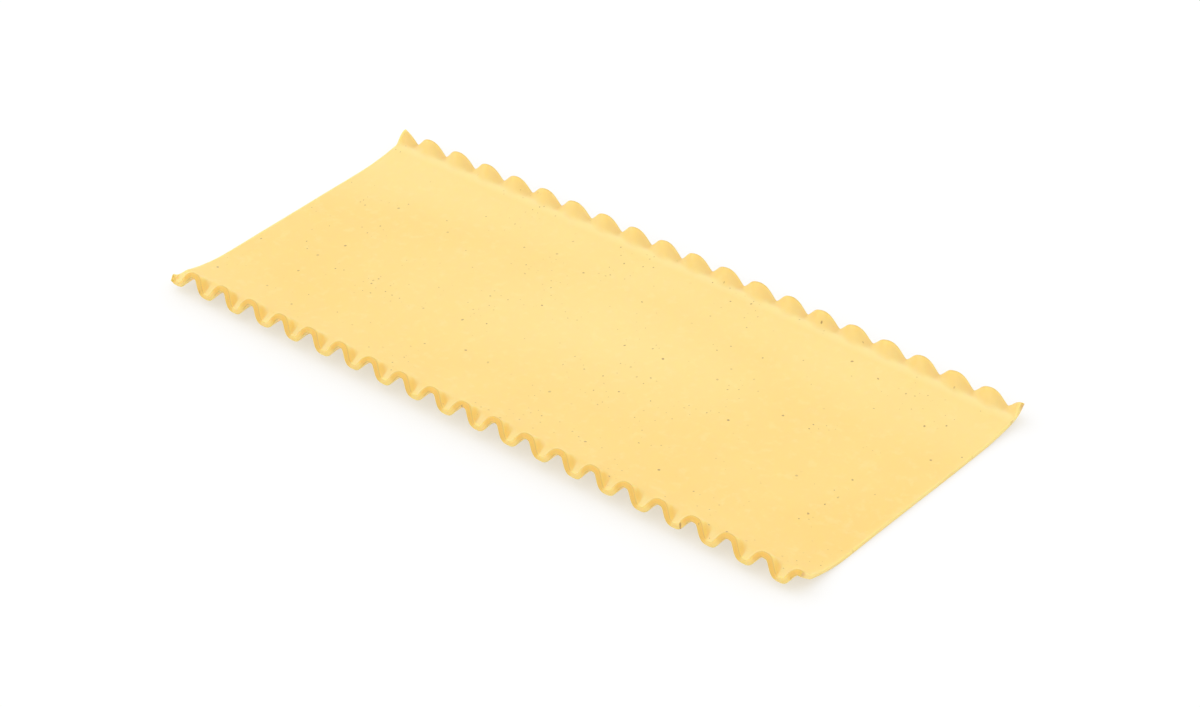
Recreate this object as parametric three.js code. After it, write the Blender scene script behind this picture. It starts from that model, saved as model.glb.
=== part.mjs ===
// A dried lasagna sheet: one thin slab of rolled dough, its two long edges turned up a little
// and crimped into a ruffle. It lies on its two short ends, and its middle stands about a
// millimetre higher, because the dough bowed a little as it dried.
//
// Millimetres. X runs along the sheet, Y across it and Z up. The origin is under the middle
// of the sheet, on the surface that it lies on.

import * as THREE from 'three';

// Driving dimensions of the slab
const sheetLength = 178;
const sheetWidth = 80.5; // along the dough, from one long cut edge to the other
const thickness = 1;
const cutThickness = 1.38; // at the long cut edges, because the dough thickens through the ruffle
const bowHeight = 1.02; // of the middle over the two short ends
const leftEndSkew = -0.6; // how far the far corner of this end stands to the right of the near one
const rightEndSkew = 0.2;
const turnedWidth = 17.6; // of the strip that turns up along each long edge

// Each long edge: side is -1 for the near one and 1 for the far one. The angles are in degrees.
const nearEdge = {
  side: -1,
  edgeTilt: 22.3, // slope of the turned strip where it ends, without its waves
  ruffleWidth: 5.4,
  blendWidth: 1.4, // over which the waves grow to their full swing
  waveSwing: 22.1, // how far a wave bends the dough up and down from that slope
  wavePitch: 9.01,
  waveStart: 4.09, // where a wave rises through the middle, at the root of the ruffle
  foldSlant: 2.1, // how far a fold runs to the right on its way to the cut edge
  flankSteepness: 0.8, // 0 gives round waves, more gives steeper flanks and broader crests
  waveLean: 0, // 0 gives waves that are the same to the left and to the right
  seed: 2236,
};
const farEdge = {
  side: 1,
  edgeTilt: 15.9,
  ruffleWidth: 4.8,
  blendWidth: 1.2,
  waveSwing: 35.4,
  wavePitch: 8.96,
  waveStart: -0.7,
  foldSlant: -3.5,
  flankSteepness: 0.1,
  waveLean: -0.14,
  seed: 3022,
};
const heightSpread = 0.07; // how much the waves differ in height, as a share
const placeSpread = 0.025; // how much they differ in place, as a share of the pitch

// How finely the surface is split
const coarseColumns = 22;
const finePerCoarse = 12; // an even count
const ruffleRows = 4;
const stripRows = 3;
const middleRows = 4;
const walkStep = 0.25; // length of dough that is taken as straight

const degree = Math.PI / 180;
const halfFlat = sheetWidth / 2 - turnedWidth;
const fineColumns = coarseColumns * finePerCoarse;

// A short run of draws between -1 and 1, always the same for the same seed.
function seededDraws(seed, count) {
  const draws = [];
  let state = seed;
  for (let i = 0; i < count; i += 1) {
    state = (Math.imul(state, 1664525) + 1013904223) >>> 0;
    draws.push(state / 2 ** 31 - 1);
  }
  return draws;
}

function smoothStep(t) {
  const held = Math.min(Math.max(t, 0), 1);
  return held * held * (3 - 2 * held);
}

// Every wave of an edge has a height and a place of its own, and one passes smoothly into the
// next.
for (const edge of [nearEdge, farEdge]) {
  edge.firstWave = Math.floor(-sheetLength / edge.wavePitch);
  const waveCount = 2 - 2 * edge.firstWave;
  edge.heights = seededDraws(edge.seed, waveCount);
  edge.places = seededDraws(edge.seed + 1, waveCount);
}

function betweenWaves(draws, edge, turns) {
  const wave = Math.floor(turns);
  const share = smoothStep(turns - wave);
  const index = wave - edge.firstWave;
  return draws[index] * (1 - share) + draws[index + 1] * share;
}

// The wave's value, from about -1 in a trough to 1 on a crest, at a depth into the ruffle.
function waveValue(edge, x, depth) {
  const along = x - edge.waveStart - (edge.foldSlant * depth) / edge.ruffleWidth;
  const turns = along / edge.wavePitch;
  const shifted = turns + placeSpread * betweenWaves(edge.places, edge, turns);
  const angle = 2 * Math.PI * shifted;
  const s = Math.sin(angle);
  const height = 1 + heightSpread * betweenWaves(edge.heights, edge, turns);
  return height * (s * (1 + edge.flankSteepness * (1 - s * s)) + edge.waveLean * Math.sin(2 * angle));
}

// The slope of the dough across the sheet, at a distance into the turned strip.
function slopeAt(edge, x, distance) {
  const depth = Math.max(distance - (turnedWidth - edge.ruffleWidth), 0);
  const tilt = (edge.edgeTilt * distance) / turnedWidth;
  const swing = edge.waveSwing * smoothStep(depth / edge.blendWidth);
  return (tilt + swing * waveValue(edge, x, depth)) * degree;
}

// A point halfway through the dough. The turned strip is walked outwards in short steps, so
// the dough keeps its width however it bends.
function middlePoint(x, across) {
  const edge = across < 0 ? nearEdge : farEdge;
  const turned = Math.max(Math.abs(across) - halfFlat, 0);
  const steps = Math.max(Math.ceil(turned / walkStep), 1);
  const step = turned / steps;
  let run = Math.min(Math.abs(across), halfFlat);
  let rise = 0;
  for (let i = 0; i < steps; i += 1) {
    const slope = slopeAt(edge, x, (i + 0.5) * step);
    run += Math.cos(slope) * step;
    rise += Math.sin(slope) * step;
  }
  const share = x / sheetLength + 0.5;
  const skew = leftEndSkew * (1 - share) + rightEndSkew * share;
  const bow = bowHeight * (1 - (2 * share - 1) ** 2);
  return new THREE.Vector3(x + (skew * across) / sheetWidth, edge.side * run, rise + bow);
}

// Half the dough's thickness, at a distance across from the middle of the sheet.
function halfThickness(across) {
  const edge = across < 0 ? nearEdge : farEdge;
  const depth = Math.abs(across) - sheetWidth / 2 + edge.ruffleWidth;
  return (thickness + (cutThickness - thickness) * smoothStep(depth / edge.ruffleWidth)) / 2;
}

// The way from the middle of the dough to its upper face. At a short end the way stays in the
// plane of the end, because the knife cuts straight down through the waves.
function wayToFace(x, across) {
  const reach = 0.05;
  const alongX = middlePoint(x + reach, across).sub(middlePoint(x - reach, across));
  const alongY = middlePoint(x, across + reach).sub(middlePoint(x, across - reach));
  const way = alongX.cross(alongY).normalize();
  if (Math.abs(x) === sheetLength / 2) {
    const steepest = 0.5;
    way.x = 0;
    way.divideScalar(Math.max(way.lengthSq(), steepest));
  }
  return way.multiplyScalar(halfThickness(across));
}

// The rows of points from the near edge to the far one: fine ones in the ruffles, where the
// waves are, and coarse ones in the smooth dough between.
function sheetRows() {
  const rows = [];
  const addRows = (from, to, count, columns) => {
    for (let i = 0; i < count; i += 1) {
      rows.push({ across: from + ((to - from) * i) / count, columns });
    }
  };
  const edgeAt = sheetWidth / 2;
  const nearRoot = nearEdge.ruffleWidth - edgeAt;
  const farRoot = edgeAt - farEdge.ruffleWidth;
  addRows(-edgeAt, nearRoot, ruffleRows, fineColumns);
  rows.push({ across: nearRoot, columns: fineColumns });
  const nearStrip = (-halfFlat - nearRoot) / stripRows;
  addRows(nearRoot + nearStrip, -halfFlat, stripRows - 1, coarseColumns);
  addRows(-halfFlat, halfFlat, middleRows, coarseColumns);
  addRows(halfFlat, farRoot, stripRows, coarseColumns);
  addRows(farRoot, edgeAt, ruffleRows, fineColumns);
  rows.push({ across: edgeAt, columns: fineColumns });
  return rows;
}

// Two rows are joined by triangles over three corners each, given as (row, column). Where a
// coarse row meets a fine one, each coarse step carries a fan of fine ones.
function joinRows(lower, upper, addTriangle) {
  if (lower.columns === upper.columns) {
    for (let c = 0; c < lower.columns; c += 1) {
      addTriangle([lower, c], [lower, c + 1], [upper, c + 1]);
      addTriangle([lower, c], [upper, c + 1], [upper, c]);
    }
    return;
  }
  const fineIsLower = lower.columns > upper.columns;
  const fine = fineIsLower ? lower : upper;
  const coarse = fineIsLower ? upper : lower;
  const add = (a, b, c) => (fineIsLower ? addTriangle(a, b, c) : addTriangle(a, c, b));
  const half = finePerCoarse / 2;
  for (let c = 0; c < coarse.columns; c += 1) {
    const first = c * finePerCoarse;
    for (let i = 0; i < finePerCoarse; i += 1) {
      const corner = i < half ? c : c + 1;
      add([fine, first + i], [fine, first + i + 1], [coarse, corner]);
    }
    add([fine, first + half], [coarse, c + 1], [coarse, c]);
  }
}

// The closed slab: both faces split alike, and a wall round its cut edges.
function buildSheetGeometry() {
  const positions = [];
  const indices = [];
  const rows = sheetRows();
  for (const row of rows) {
    row.first = positions.length / 3;
    for (let c = 0; c <= row.columns; c += 1) {
      const x = sheetLength * (c / row.columns - 0.5);
      const middle = middlePoint(x, row.across);
      const way = wayToFace(x, row.across);
      positions.push(...middle.clone().add(way), ...middle.sub(way));
    }
  }
  const top = ([row, column]) => row.first + 2 * column;
  const under = ([row, column]) => row.first + 2 * column + 1;
  const addWall = (a, b) => {
    indices.push(under(a), under(b), top(b));
    indices.push(under(a), top(b), top(a));
  };
  const addBothFaces = (a, b, c) => {
    indices.push(top(a), top(b), top(c));
    indices.push(under(a), under(c), under(b));
  };
  for (let r = 1; r < rows.length; r += 1) {
    const lower = rows[r - 1];
    const upper = rows[r];
    joinRows(lower, upper, addBothFaces);
    addWall([upper, 0], [lower, 0]);
    addWall([lower, lower.columns], [upper, upper.columns]);
  }
  const nearRow = rows[0];
  const farRow = rows[rows.length - 1];
  for (let c = 0; c < fineColumns; c += 1) {
    addWall([nearRow, c], [nearRow, c + 1]);
    addWall([farRow, c + 1], [farRow, c]);
  }

  const geometry = new THREE.BufferGeometry();
  geometry.setAttribute('position', new THREE.Float32BufferAttribute(positions, 3));
  geometry.setIndex(indices);
  geometry.computeBoundingBox();
  const box = geometry.boundingBox;
  const centre = box.getCenter(new THREE.Vector3());
  geometry.translate(-centre.x, -centre.y, -box.min.z);
  geometry.computeVertexNormals();
  return geometry;
}

const driedPasta = new THREE.MeshStandardMaterial({
  name: 'dried_pasta',
  color: 0xf8d98c,
  roughness: 0.55,
  metalness: 0,
});

const sheet = new THREE.Mesh(buildSheetGeometry(), driedPasta);
sheet.name = 'lasagna_sheet';

const part = new THREE.Group();
part.add(sheet);

export default part;
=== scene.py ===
import math

import bpy
import numpy as np
from mathutils import Matrix, Vector


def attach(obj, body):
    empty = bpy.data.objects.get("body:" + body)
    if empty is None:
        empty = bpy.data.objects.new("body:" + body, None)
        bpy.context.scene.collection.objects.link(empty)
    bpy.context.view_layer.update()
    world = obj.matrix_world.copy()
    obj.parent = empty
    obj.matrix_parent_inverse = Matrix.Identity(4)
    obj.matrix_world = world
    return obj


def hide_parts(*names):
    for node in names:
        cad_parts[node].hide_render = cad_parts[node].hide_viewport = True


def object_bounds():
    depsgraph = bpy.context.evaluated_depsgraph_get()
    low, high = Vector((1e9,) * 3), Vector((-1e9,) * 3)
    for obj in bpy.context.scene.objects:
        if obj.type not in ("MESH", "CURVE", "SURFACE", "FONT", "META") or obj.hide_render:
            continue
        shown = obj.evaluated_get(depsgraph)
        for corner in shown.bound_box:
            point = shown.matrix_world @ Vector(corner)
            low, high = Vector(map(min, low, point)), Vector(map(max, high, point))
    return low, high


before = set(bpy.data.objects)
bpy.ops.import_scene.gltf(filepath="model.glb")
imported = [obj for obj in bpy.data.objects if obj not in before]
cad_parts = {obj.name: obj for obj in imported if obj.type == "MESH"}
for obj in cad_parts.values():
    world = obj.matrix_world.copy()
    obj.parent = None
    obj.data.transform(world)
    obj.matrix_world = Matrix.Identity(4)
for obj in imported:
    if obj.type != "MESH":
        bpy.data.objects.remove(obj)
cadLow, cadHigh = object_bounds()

# A dried lasagna sheet, alone on a pale table under soft light
mm = 0.001
scene = bpy.context.scene

# The sheet, in millimetres and degrees. X runs along it, Y across it to the far edge.
sheet = {
    "length": 178.0,
    "width": 80.5,          # along the dough, from one long cut edge to the other
    "thickness": 1.0,
    "cutThickness": 1.38,   # at the long cut edges, as the dough thickens through the ruffle
    "bow": 1.02,            # the middle stands this much over the short ends
    "leftSkew": -0.6,       # how far the far corner of this end stands to the right of the near one
    "rightSkew": 0.2,
    "turned": 17.6,         # width of the strip that turns up along each long edge
    "heightSpread": 0.07,   # how much the waves differ in height, as a share
    "placeSpread": 0.025,   # how much they differ in place, as a share of the pitch
    "relief": 0.05,         # how uneven the rollers leave the dough
    "reliefLength": 34.0,   # from one low place to the next
    "reliefSpread": 16.0,   # how much that length differs
    "reliefSeed": 101,
    "rimRadius": 0.22,      # rounding of the knife cut
    "columns": 560,
    "ruffleRows": 14,
    "stripRows": 9,
    "flatRows": 16,
}

# Its two long edges: the waves first, then how far they are coloured, with painted light on the ruffle
# and strip and painted shade on the flanks, as shares
nearEdge = {
    "side": -1,
    "tilt": 22.3,           # slope of the turned strip where it ends
    "ruffle": 5.4,          # width of the crimped part
    "blend": 1.4,           # the waves grow to full swing over this width
    "swing": 22.1,          # a wave bends the dough this far up and down
    "pitch": 9.01,
    "start": 4.09,          # a wave rises through the middle here
    "slant": 2.1,           # a fold runs this far to the right on its way out
    "steepness": 0.8,       # 0 is a round wave, more has steeper flanks
    "lean": 0.0,            # 0 is a wave that is the same to both sides
    "seed": 2236,
    "crimped": 0.9,         # how much paler the ruffle is painted, painted light for the light its troughs catch
    "crease": 0.0,          # how pale the fold at its root is
    "stripLight": 0.0,         # how much paler the strip inside that fold is painted, painted light where it faces the light
    "rim": 0.45,            # how deep the colour is along the cut
    "rimWidth": 1.4,
    "crestRim": 0.7,        # how much deeper that is on the crests than in the troughs
    "flank": 0.80,          # how dark the painted shade is on the flanks that fall to the right
    "troughCut": 0.6,       # how far the cut pales in the troughs
    "cornerDark": 0.08,        # how dark the very corner of the cut is
}
farEdge = {
    "side": 1,
    "tilt": 15.9,
    "ruffle": 4.8,
    "blend": 1.2,
    "swing": 35.4,
    "pitch": 8.96,
    "start": -0.7,
    "slant": -3.5,
    "steepness": 0.1,
    "lean": -0.14,
    "seed": 3022,
    "crimped": 0.1,
    "crease": 0.85,
    "stripLight": 0.45,
    "rim": 0.28,
    "rimWidth": 4.4,
    "crestRim": 0.0,
    "flank": 0.0,
    "troughCut": 0.0,
    "cornerDark": 0.30,
}


def smoothStep(t):
    held = np.clip(t, 0.0, 1.0)
    return held * held * (3.0 - 2.0 * held)


# a run of draws between -1 and 1, always the same for the same seed
def seededDraws(seed, count):
    draws = []
    state = seed
    for _ in range(count):
        state = (state * 1664525 + 1013904223) % 2 ** 32
        draws.append(state / 2 ** 31 - 1.0)
    return np.array(draws)


# each wave gets a height and a place of its own
for edge in (nearEdge, farEdge):
    edge["firstWave"] = math.floor(-sheet["length"] / edge["pitch"])
    waveCount = 2 - 2 * edge["firstWave"]
    edge["heights"] = seededDraws(edge["seed"], waveCount)
    edge["places"] = seededDraws(edge["seed"] + 1, waveCount)


def betweenWaves(draws, edge, turns):
    wave = np.floor(turns)
    share = smoothStep(turns - wave)
    index = wave.astype(int) - edge["firstWave"]
    return draws[index] * (1.0 - share) + draws[index + 1] * share


# from about -1 in a trough to 1 on a crest, at a depth into the ruffle
def waveValue(edge, x, depth):
    along = x - edge["start"] - edge["slant"] * depth / edge["ruffle"]
    turns = along / edge["pitch"]
    shifted = turns + sheet["placeSpread"] * betweenWaves(edge["places"], edge, turns)
    angle = 2.0 * math.pi * shifted
    sine = np.sin(angle)
    height = 1.0 + sheet["heightSpread"] * betweenWaves(edge["heights"], edge, turns)
    wave = sine * (1.0 + edge["steepness"] * (1.0 - sine * sine))
    wave = wave + edge["lean"] * np.sin(2.0 * angle)
    return height * wave


def slopeAt(edge, x, distance):
    depth = np.maximum(distance - (sheet["turned"] - edge["ruffle"]), 0.0)
    tilt = edge["tilt"] * distance / sheet["turned"]
    swing = edge["swing"] * smoothStep(depth / edge["blend"])
    return np.radians(tilt + swing * waveValue(edge, x, depth))


# walks the dough outwards from the flat and gives how far it gets and how high it climbs
def walkOutwards(edge, xs, distances):
    stepsPerRow = 5
    parts = []
    for start, stop in zip(distances[:-1], distances[1:]):
        parts.append(np.linspace(start, stop, stepsPerRow, endpoint=False))
    fine = np.concatenate(parts + [distances[-1:]])
    slopes = slopeAt(edge, xs[:, None], ((fine[1:] + fine[:-1]) / 2)[None, :])
    steps = np.diff(fine)[None, :]
    run = np.cumsum(np.cos(slopes) * steps, axis=1)[:, stepsPerRow - 1::stepsPerRow]
    rise = np.cumsum(np.sin(slopes) * steps, axis=1)[:, stepsPerRow - 1::stepsPerRow]
    return run, rise


def rowDistances(edge):
    root = sheet["turned"] - edge["ruffle"]
    strip = np.linspace(0.0, root, sheet["stripRows"], endpoint=False)
    ruffle = np.linspace(root, sheet["turned"] - sheet["rimRadius"], sheet["ruffleRows"])
    return np.concatenate([strip, ruffle])


# gentle unevenness of the rolled dough, from a few long waves in seeded directions
def rollerRelief(x, y):
    waveCount = 8
    draws = seededDraws(sheet["reliefSeed"], 3 * waveCount).reshape(waveCount, 3)
    total = np.zeros_like(x)
    for turn, stretch, shift in draws:
        direction = math.pi * turn
        length = sheet["reliefLength"] + sheet["reliefSpread"] * stretch
        along = x * math.cos(direction) + y * math.sin(direction)
        total += np.sin(2 * math.pi * along / length + math.pi * shift)
    return sheet["relief"] * total / 3.0    # eight such waves together mostly stay under three


def halfThickness(across):
    half = np.full_like(across, sheet["thickness"] / 2)
    gain = (sheet["cutThickness"] - sheet["thickness"]) / 2
    for edge in (nearEdge, farEdge):
        depth = across * edge["side"] - sheet["width"] / 2 + edge["ruffle"]
        half += smoothStep(depth / edge["ruffle"]) * gain
    return half


# middle layer of the dough: points, the way up to its face, and where each point sits on the sheet
def middleLayer():
    halfFlat = sheet["width"] / 2 - sheet["turned"]
    endAt = sheet["length"] / 2 - sheet["rimRadius"]
    xs = np.linspace(-endAt, endAt, sheet["columns"] + 1)
    flat = np.linspace(-halfFlat, halfFlat, sheet["flatRows"] + 1)
    nearOut = rowDistances(nearEdge)
    farOut = rowDistances(farEdge)
    nearRun, nearRise = walkOutwards(nearEdge, xs, nearOut)
    farRun, farRise = walkOutwards(farEdge, xs, farOut)
    across = np.concatenate([-(halfFlat + nearOut[:0:-1]), flat, halfFlat + farOut[1:]])
    flatY = np.tile(flat, (len(xs), 1))
    y = np.concatenate([-(halfFlat + nearRun[:, ::-1]), flatY, halfFlat + farRun], axis=1)
    z = np.concatenate([nearRise[:, ::-1], np.zeros_like(flatY), farRise], axis=1)
    share = xs / sheet["length"] + 0.5
    skew = sheet["leftSkew"] * (1 - share) + sheet["rightSkew"] * share
    x = xs[:, None] + skew[:, None] * across[None, :] / sheet["width"]
    z = z + sheet["bow"] * (1 - (2 * share - 1) ** 2)[:, None] + rollerRelief(x, y)
    points = np.stack([x, y, z], axis=-1)
    way = np.cross(np.gradient(points, xs, axis=0), np.gradient(points, across, axis=1))
    way /= np.linalg.norm(way, axis=-1, keepdims=True)
    steepest = 0.5
    for end in (0, -1):     # the knife cuts straight down through the waves
        way[end, :, 0] = 0.0
        way[end] /= np.maximum((way[end] ** 2).sum(axis=-1), steepest)[:, None]
    return points, way * halfThickness(across)[None, :, None], xs, across


# Where the colour is paler or deeper, painted light and shade among it, in millimetres
markings = {
    "paleMiddle": 0.45,     # how pale the middle of the sheet is
    "paleLength": 48.0,
    "paleWidth": 26.0,
    "paleAcross": 6.0,      # it lies this far towards the far edge
    "creaseAt": 0.4,        # out from the root of the ruffle
    "creaseWidth": 1.5,
    "stripLightAt": -4.0,      # in from the root
    "stripLightWidth": 14.0,
    "flankAt": 0.6,         # out from the root
    "flankWidth": 2.6,
    "endWidth": 1.2,        # the snapped ends are duller over this width
    "cornerWrap": 2.6,      # the colour of the long cuts runs this far round each corner
}


# a soft band of colour, 1 in its middle
def band(place, at, width):
    return np.exp(-((place - at) / width) ** 2)


# how far each colour shows at every point of the sheet, from 0 to 1
def doughShares(xs, across):
    names = ("creaseShare", "ruffleShare", "rimShare", "deepShare", "cutShare", "endShare")
    shares = {name: np.zeros((len(xs), len(across))) for name in names}
    middleAlong = band(xs, 0.0, markings["paleLength"])
    middleAcross = band(across, markings["paleAcross"], markings["paleWidth"])
    middle = markings["paleMiddle"] * middleAlong[:, None] * middleAcross[None, :]
    distance = np.abs(across) - (sheet["width"] / 2 - sheet["turned"])
    for edge in (nearEdge, farEdge):
        onEdge = across * edge["side"] >= 0
        depth = distance - (sheet["turned"] - edge["ruffle"])
        wave = waveValue(edge, xs[:, None], np.maximum(depth, 0.0)[None, :])
        climb = np.gradient(wave, xs, axis=0) * edge["pitch"]

        crease = edge["crease"] * band(depth, markings["creaseAt"], markings["creaseWidth"])
        # painted light: the strip inside the fold is painted paler where it faces the light
        stripLight = edge["stripLight"] * band(depth, markings["stripLightAt"], markings["stripLightWidth"])
        pale = np.maximum(np.maximum(crease, stripLight)[None, :], middle)
        shares["creaseShare"][:, onEdge] = pale[:, onEdge]
        # painted light: the ruffle is painted paler for the light its troughs catch
        crimped = edge["crimped"] * smoothStep(1.6 * depth / edge["ruffle"])
        shares["ruffleShare"][:, onEdge] = crimped[onEdge]

        rim = edge["rim"] * (1 - smoothStep((sheet["turned"] - distance) / edge["rimWidth"]))[None, :]
        rim = rim * (1 + edge["crestRim"] * np.clip(wave, -1, 1))
        falling = smoothStep(0.9 * np.minimum(wave, 0.5) - climb / 6.0)     # to the right
        # painted shade on the flanks that fall to the right, away from the light
        flank = smoothStep((depth - markings["flankAt"]) / markings["flankWidth"]) * falling
        shares["rimShare"][:, onEdge] = np.maximum(rim, edge["flank"] * flank)[:, onEdge]
        trough = smoothStep(1.6 * (-0.35 - wave) - 0.05 * climb)    # only its bottom
        shares["deepShare"][:, onEdge] = (1 - edge["troughCut"] * trough)[:, onEdge]
    shares["cutShare"][:, 0] = nearEdge["cornerDark"]
    shares["cutShare"][:, -1] = farEdge["cornerDark"]
    fromEnd = sheet["length"] / 2 - np.abs(xs)
    shares["endShare"][:] = (1 - smoothStep(fromEnd / markings["endWidth"]))[:, None]
    return shares


# the rim runs once round the sheet, anticlockwise seen from above
def rimRing(columns, rows):
    ring = [(c, 0) for c in range(columns)]
    ring += [(columns - 1, r) for r in range(1, rows)]
    ring += [(c, rows - 1) for c in range(columns - 2, -1, -1)]
    ring += [(0, r) for r in range(rows - 2, 0, -1)]
    return np.array(ring).T


# the way out of the dough at each point of the rim
def rimOutwards(points, across, ringColumn, ringRow):
    columns, rows = points.shape[:2]
    alongAcross = np.gradient(points, across, axis=1)
    alongAcross /= np.linalg.norm(alongAcross, axis=-1, keepdims=True)
    outwards = np.zeros((len(ringColumn), 3))
    outwards[ringRow == 0] -= alongAcross[ringColumn[ringRow == 0], 0]
    outwards[ringRow == rows - 1] += alongAcross[ringColumn[ringRow == rows - 1], -1]
    outwards[ringColumn == 0] += (-1.0, 0.0, 0.0)
    outwards[ringColumn == columns - 1] += (1.0, 0.0, 0.0)
    return outwards


# the rounded cut, from the upper face down: how far out, and the share of the way up
def rimProfile():
    half = sheet["thickness"] / 2
    radius = sheet["rimRadius"]
    profile = []
    for angle in (30, 60, 90):
        turn = math.radians(angle)
        profile.append((radius * math.sin(turn), 1 - radius / half * (1 - math.cos(turn))))
    return profile + [(radius, 0.0)] + [(out, -up) for out, up in reversed(profile)]


# puts the middle of the sheet's foot where the frame has it, and turns millimetres into metres
def ontoFrame(verts):
    low = verts.min(axis=0)
    middle = (low + verts.max(axis=0)) / 2
    sheet["foot"] = Vector((middle[0], middle[1], low[2]))
    place = (cadLow + cadHigh) / 2
    return (verts - np.array(sheet["foot"])) * mm + (place[0], place[1], cadLow[2])


def buildSheet():
    points, way, xs, across = middleLayer()
    columns, rows = points.shape[:2]
    index = np.arange(columns * rows).reshape(columns, rows)
    under = index + columns * rows
    verts = [(points + way).reshape(-1, 3), (points - way).reshape(-1, 3)]
    grids = doughShares(xs, across)
    shares = {name: [grid.ravel(), grid.ravel()] for name, grid in grids.items()}
    topFaces = np.stack([index[:-1, :-1], index[1:, :-1], index[1:, 1:], index[:-1, 1:]], axis=-1)
    underFaces = np.stack([under[:-1, :-1], under[:-1, 1:], under[1:, 1:], under[1:, :-1]], axis=-1)
    faces = [topFaces.reshape(-1, 4), underFaces.reshape(-1, 4)]

    ringColumn, ringRow = rimRing(columns, rows)
    outwards = rimOutwards(points, across, ringColumn, ringRow)
    onEnd = ((ringColumn == 0) | (ringColumn == columns - 1)).astype(float)
    fromCorner = sheet["width"] / 2 - np.abs(across[ringRow])
    onCut = np.maximum(1 - onEnd, 1 - smoothStep(fromCorner / markings["cornerWrap"]))
    rimShares = {name: grid[ringColumn, ringRow] for name, grid in grids.items()}
    rimShares["endShare"] = onEnd * (1 - onCut)
    loops = [index[ringColumn, ringRow]]
    base = 2 * columns * rows
    for out, up in rimProfile():
        verts.append(points[ringColumn, ringRow] + outwards * out + way[ringColumn, ringRow] * up)
        rimShares["cutShare"] = onCut * out / sheet["rimRadius"]
        for name, values in rimShares.items():
            shares[name].append(values)
        loops.append(base + np.arange(len(ringColumn)))
        base += len(ringColumn)
    loops.append(under[ringColumn, ringRow])
    for upper, lower in zip(loops[:-1], loops[1:]):
        faces.append(np.stack([lower, np.roll(lower, -1), np.roll(upper, -1), upper], axis=-1))

    mesh = bpy.data.meshes.new("lasagnaSheet")
    verts = ontoFrame(np.concatenate(verts))
    mesh.from_pydata(verts.tolist(), [], np.concatenate(faces).tolist())
    for name, parts in shares.items():
        attribute = mesh.attributes.new(name, "FLOAT", "POINT")
        attribute.data.foreach_set("value", np.concatenate(parts).astype(np.float32))
    mesh.polygons.foreach_set("use_smooth", [True] * len(mesh.polygons))
    mesh.validate()
    mesh.update()
    piece = bpy.data.objects.new("lasagnaSheet", mesh)
    scene.collection.objects.link(piece)
    print("sheet built,", len(mesh.vertices), "points,", 2 * len(mesh.polygons), "triangles")
    return piece


# Colours of the dried dough, linear, with painted light and shade among them, and its markings, in
# millimetres
dough = {
    "plain": (0.795, 0.595, 0.200),
    # pale: for the mottle, the crease and the middle, and painted light on the far strip
    "pale": (0.800, 0.665, 0.290),
    "deep": (0.790, 0.555, 0.160),
    # painted light on the ruffle
    "crimped": (0.810, 0.665, 0.270),
    # deeper colour along the cut, also the painted shade on the flanks that fall to the right
    "rim": (0.800, 0.545, 0.108),
    "cut": (0.708, 0.474, 0.104),
    "corner": (0.580, 0.390, 0.130),
    "snapped": (0.775, 0.600, 0.235),
    "bran": (0.400, 0.250, 0.090),
    "cloudSize": 30.0,
    "cloudShare": 0.35,     # how deep the clouds get
    "cloudRange": (0.35, 0.65),     # a narrower range gives clouds with harder edges
    "mottleSize": 2.4,
    "mottleShare": 0.30,    # how pale the mottle gets
    "mottleRange": (0.50, 0.72),
    "snappedShare": 0.7,    # how dull the snapped ends get
    "branSpacing": 8.5,     # of the single flecks
    "branSize": 0.26,
    "fineSpacing": 2.2,     # of the finer ones
    "fineSize": 0.18,
    "clusterSize": 11.0,    # the finer ones lie in clusters of this size
    "clusterRange": (0.53, 0.62),
    "branBend": 0.6,        # how far the flecks are bent out of round
    "bendsPerMetre": 900.0,
    "roughness": 0.52,
    "grainSize": 0.35,
    "grainDepth": 0.02,
    "grainStrength": 0.35,
    "softness": 0.9,        # how much of the light goes into the dough
    "lightDepth": 1.8,      # and how deep
}


def nodeMaker(material):
    material.use_nodes = True
    tree = material.node_tree
    tree.nodes.clear()

    def add(kind, inputs=(), **settings):
        node = tree.nodes.new(kind)
        for key, value in settings.items():
            setattr(node, key, value)
        for key, value in dict(inputs).items():
            socket = node.inputs[key]
            if isinstance(value, bpy.types.NodeSocket):
                tree.links.new(value, socket)
            elif socket.type == "RGBA":
                socket.default_value = (*value, 1.0)
            else:
                socket.default_value = value
        return node

    return add


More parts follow.
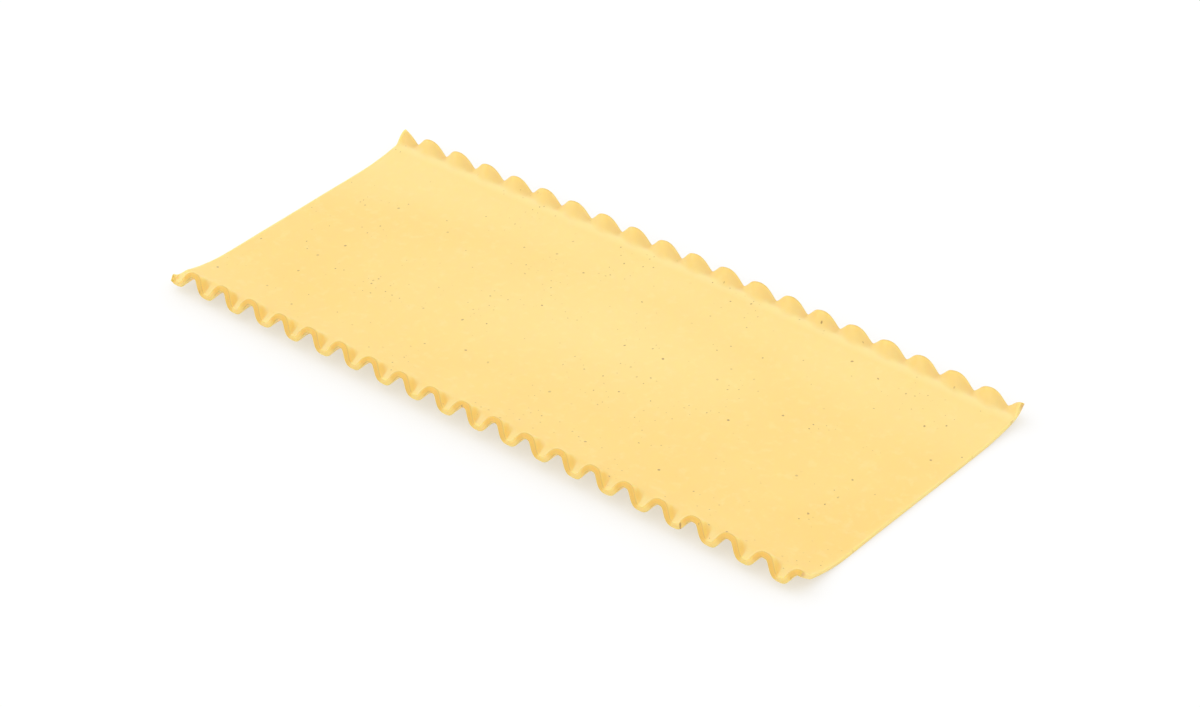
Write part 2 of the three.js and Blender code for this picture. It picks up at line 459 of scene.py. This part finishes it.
def doughMaterial():
    material = bpy.data.materials.new("driedDough")
    add = nodeMaker(material)
    place = add("ShaderNodeTexCoord").outputs["Object"]

    def noise(size, detail, rough=0.5):
        inputs = {"Vector": place, "Scale": 1 / (size * mm), "Detail": detail, "Roughness": rough}
        return add("ShaderNodeTexNoise", inputs).outputs["Fac"]

    def ramp(value, low, high, toLow=0.0, toHigh=1.0):
        inputs = {"Value": value, "From Min": low, "From Max": high, "To Min": toLow, "To Max": toHigh}
        return add("ShaderNodeMapRange", inputs, interpolation_type="SMOOTHSTEP").outputs["Result"]

    def reckon(kind, first, second):
        inputs = {0: first, 1: second}
        return add("ShaderNodeMath", inputs, operation=kind, use_clamp=True).outputs[0]

    def times(first, second):
        return reckon("MULTIPLY", first, second)

    def blend(share, first, second):
        inputs = {"Factor": share, 6: first, 7: second}
        return add("ShaderNodeMix", inputs, data_type="RGBA").outputs[2]

    def share(name):
        return add("ShaderNodeAttribute", attribute_name=name).outputs["Fac"]

    # soft clouds of deeper dough and a fine pale mottle
    clouds = ramp(noise(dough["cloudSize"], 2.0), *dough["cloudRange"])
    colour = blend(times(clouds, dough["cloudShare"]), dough["plain"], dough["deep"])
    mottle = ramp(noise(dough["mottleSize"], 4.0, 0.6), *dough["mottleRange"])
    colour = blend(times(mottle, dough["mottleShare"]), colour, dough["pale"])

    # the crease band and the middle are paler, the ruffle and the far strip are painted paler as
    # painted light, the rim is deeper, and the flanks that fall to the right get painted shade
    colour = blend(share("creaseShare"), colour, dough["pale"])
    colour = blend(share("ruffleShare"), colour, dough["crimped"])
    colour = blend(share("rimShare"), colour, dough["rim"])

    # the knife cut is deepest, with a darker line along its corners, and the snapped ends are dull
    cutShare = share("cutShare")
    deepShare = share("deepShare")
    colour = blend(times(cutShare, deepShare), colour, dough["cut"])
    corner = times(ramp(cutShare, 0.0, 0.5), ramp(cutShare, 0.85, 1.0, 0.75, 0.0))
    colour = blend(times(corner, deepShare), colour, dough["corner"])
    colour = blend(times(share("endShare"), dough["snappedShare"]), colour, dough["snapped"])

    # flecks of bran, single ones and clusters of finer ones
    bends = add("ShaderNodeTexNoise", {"Vector": place, "Scale": dough["bendsPerMetre"]})
    bentPlace = blend(dough["branBend"] * mm, place, bends.outputs["Color"])

    def flecks(spacing, size, present):
        inputs = {"Vector": bentPlace, "Scale": 1 / (spacing * mm)}
        cells = add("ShaderNodeTexVoronoi", inputs, voronoi_dimensions="2D")
        drawn = add("ShaderNodeSeparateColor", {"Color": cells.outputs["Color"]}).outputs
        reach = size / spacing
        width = ramp(drawn[1], 0.0, 1.0, reach * 0.7, reach * 1.5)
        dot = ramp(reckon("DIVIDE", cells.outputs["Distance"], width), 0.5, 1.0, 1.0, 0.0)
        strength = ramp(drawn[0], 0.3, 1.0)     # nearly a third of them don't show at all
        return times(times(dot, strength), present)

    colour = blend(flecks(dough["branSpacing"], dough["branSize"], 1.0), colour, dough["bran"])
    clusters = ramp(noise(dough["clusterSize"], 1.0), *dough["clusterRange"])
    colour = blend(flecks(dough["fineSpacing"], dough["fineSize"], clusters), colour, dough["bran"])

    bump = add("ShaderNodeBump", {
        "Strength": dough["grainStrength"],
        "Distance": dough["grainDepth"] * mm,
        "Height": noise(dough["grainSize"], 3.0, 0.6),
    })
    shader = add("ShaderNodeBsdfPrincipled", {
        "Base Color": colour,
        "Roughness": dough["roughness"],
        "Normal": bump.outputs["Normal"],
        "Specular IOR Level": 0.5,
        "Subsurface Weight": dough["softness"],
        "Subsurface Radius": (1.0, 0.8, 0.4),
        "Subsurface Scale": dough["lightDepth"] * mm,
    }, subsurface_method="RANDOM_WALK")
    add("ShaderNodeOutputMaterial", {"Surface": shader.outputs[0]})
    return material


# The camera, placed so that the sheet lies in the picture as it does in the photograph
camera = {
    "lens": 111.36,
    "sensor": 36.0,
    "azimuth": 40.18,
    "elevation": 34.47,
    "roll": -0.53,
    "distance": 815.9,      # millimetres
    "target": (3.29, 0.74, 0.09),       # from the middle of the flat dough
}


def placeCamera():
    data = bpy.data.cameras.new("photoCamera")
    data.lens = camera["lens"]
    data.sensor_width = camera["sensor"]
    data.sensor_fit = "HORIZONTAL"
    data.clip_start = 0.01
    data.clip_end = 20.0
    turn, lift, roll = (math.radians(camera[key]) for key in ("azimuth", "elevation", "roll"))
    back = Vector((math.sin(turn) * math.cos(lift), -math.cos(turn) * math.cos(lift), math.sin(lift)))
    level = Vector((math.cos(turn), math.sin(turn), 0.0))
    up = back.cross(level)
    right = level * math.cos(roll) + up * math.sin(roll)
    top = up * math.cos(roll) - level * math.sin(roll)
    spot = (Vector(camera["target"]) - sheet["foot"] + back * camera["distance"]) * mm
    item = bpy.data.objects.new("photoCamera", data)
    item.matrix_world = Matrix((
        (right.x, top.x, back.x, spot.x),
        (right.y, top.y, back.y, spot.y),
        (right.z, top.z, back.z, spot.z),
        (0.0, 0.0, 0.0, 1.0),
    ))
    scene.collection.objects.link(item)
    scene.camera = item
    print("camera placed")


# The studio: a broad window at the front left and soft light from all round
studio = {
    "floorSize": 4.0,                   # in metres
    "floorColour": (0.455, 0.455, 0.455),
    "floorGlow": 0.472,                 # the floor is lit a little from below
    "windowDirection": (0.92, 0.39),    # the way its light travels over the floor
    "windowElevation": 48.0,            # in degrees
    "windowSpread": 90.0,               # how broad it looks from the sheet, in degrees
    "windowStrength": 0.50,
    "roomStrength": 1.095,
    "roomColour": (1.0, 1.0, 1.0),
}


def floorMaterial():
    material = bpy.data.materials.new("paleFloor")
    add = nodeMaker(material)
    shader = add("ShaderNodeBsdfPrincipled", {
        "Base Color": studio["floorColour"],
        "Roughness": 0.9,
        "Specular IOR Level": 0.0,
        "Emission Color": studio["roomColour"],
        "Emission Strength": studio["floorGlow"],
    })
    add("ShaderNodeOutputMaterial", {"Surface": shader.outputs[0]})
    return material


def buildFloor():
    half = studio["floorSize"] / 2
    mesh = bpy.data.meshes.new("studioFloor")
    corners = [(-half, -half, 0), (half, -half, 0), (half, half, 0), (-half, half, 0)]
    mesh.from_pydata(corners, [], [(0, 1, 2, 3)])
    mesh.materials.append(floorMaterial())
    floor = bpy.data.objects.new("studioFloor", mesh)
    floor.location.z = cadLow[2]
    scene.collection.objects.link(floor)
    print("floor laid")


def buildLights():
    light = bpy.data.lights.new("window", "SUN")
    light.energy = studio["windowStrength"]
    light.angle = math.radians(studio["windowSpread"])
    lamp = bpy.data.objects.new("window", light)
    lift = math.radians(studio["windowElevation"])
    level = Vector((*studio["windowDirection"], 0.0)).normalized()
    travel = level * math.cos(lift) - Vector((0, 0, math.sin(lift)))
    lamp.rotation_mode = "QUATERNION"
    lamp.rotation_quaternion = travel.to_track_quat("-Z", "Y")
    scene.collection.objects.link(lamp)

    world = bpy.data.worlds.new("softRoom")
    scene.world = world
    world.use_nodes = True
    background = world.node_tree.nodes["Background"]
    background.inputs["Color"].default_value = (*studio["roomColour"], 1.0)
    background.inputs["Strength"].default_value = studio["roomStrength"]
    print("lights placed")


lasagna = buildSheet()
lasagna.data.materials.append(doughMaterial())
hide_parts("lasagna_sheet")
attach(lasagna, "root")
print("dough finished")

placeCamera()
buildFloor()
buildLights()
scene.view_settings.view_transform = "Standard"
scene.view_settings.look = "None"
